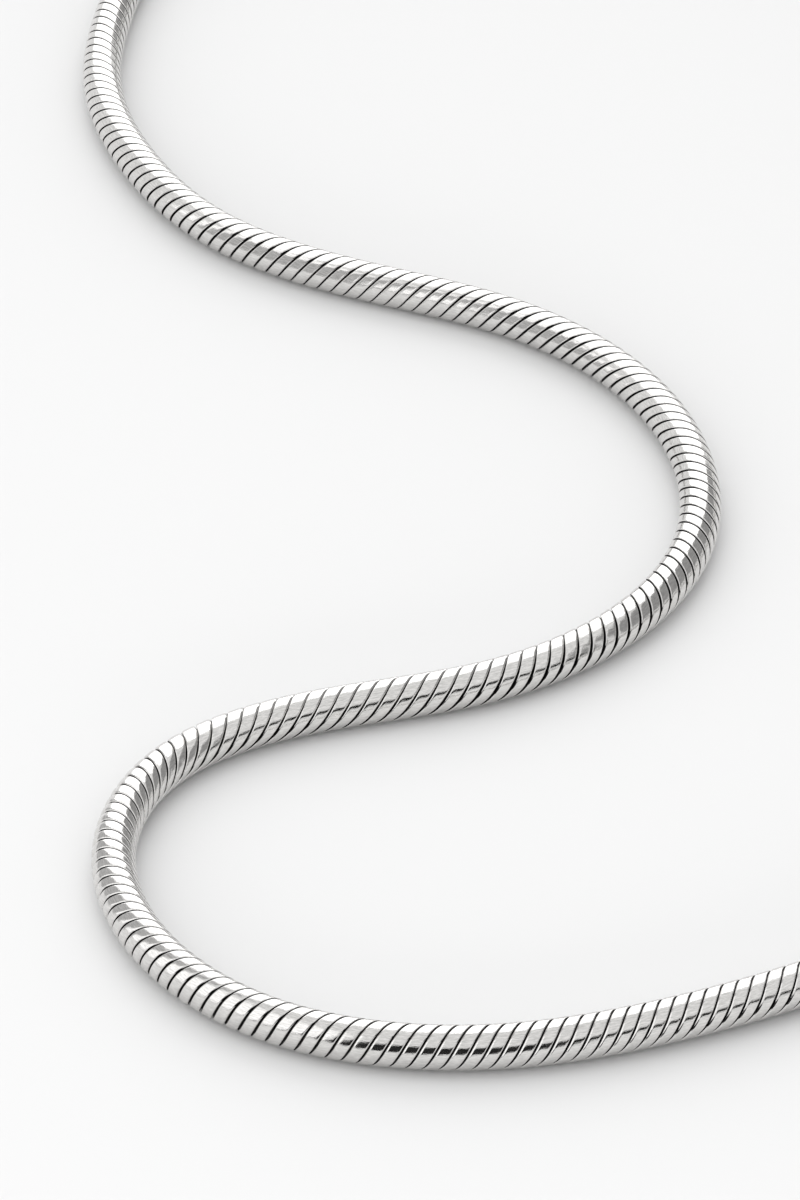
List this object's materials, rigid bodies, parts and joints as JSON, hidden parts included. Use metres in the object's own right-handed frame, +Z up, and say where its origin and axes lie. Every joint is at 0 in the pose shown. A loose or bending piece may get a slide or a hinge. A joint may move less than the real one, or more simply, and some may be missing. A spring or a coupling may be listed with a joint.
{
  "type": "round snake chain necklace",
  "caption": "Polished silver round snake chain necklace, a closed loop laid flat in an S, with end caps, jump rings and a plain barrel clasp.",
  "frame": {"origin": "middle of the loop's outer box, on the surface that the chain lies on", "axes": "+Y away from the viewer, along the loop's longest extent; +X to the right; +Z up from the surface, the shortest extent"},
  "size_m": [0.0731, 0.1668, 0.004],
  "materials": {
    "chain_silver": "polished silver bands, lightly brushed along their length, with dark gaps between them",
    "findings_silver": "polished silver"
  },
  "bodies": {
    "root": {"chain_near": "chain_silver", "chain_far": "chain_silver", "end_cap_near": "findings_silver", "end_cap_far": "findings_silver", "jump_ring_near": "findings_silver", "jump_ring_far": "findings_silver", "clasp": "findings_silver"}
  },
  "joints": []
}
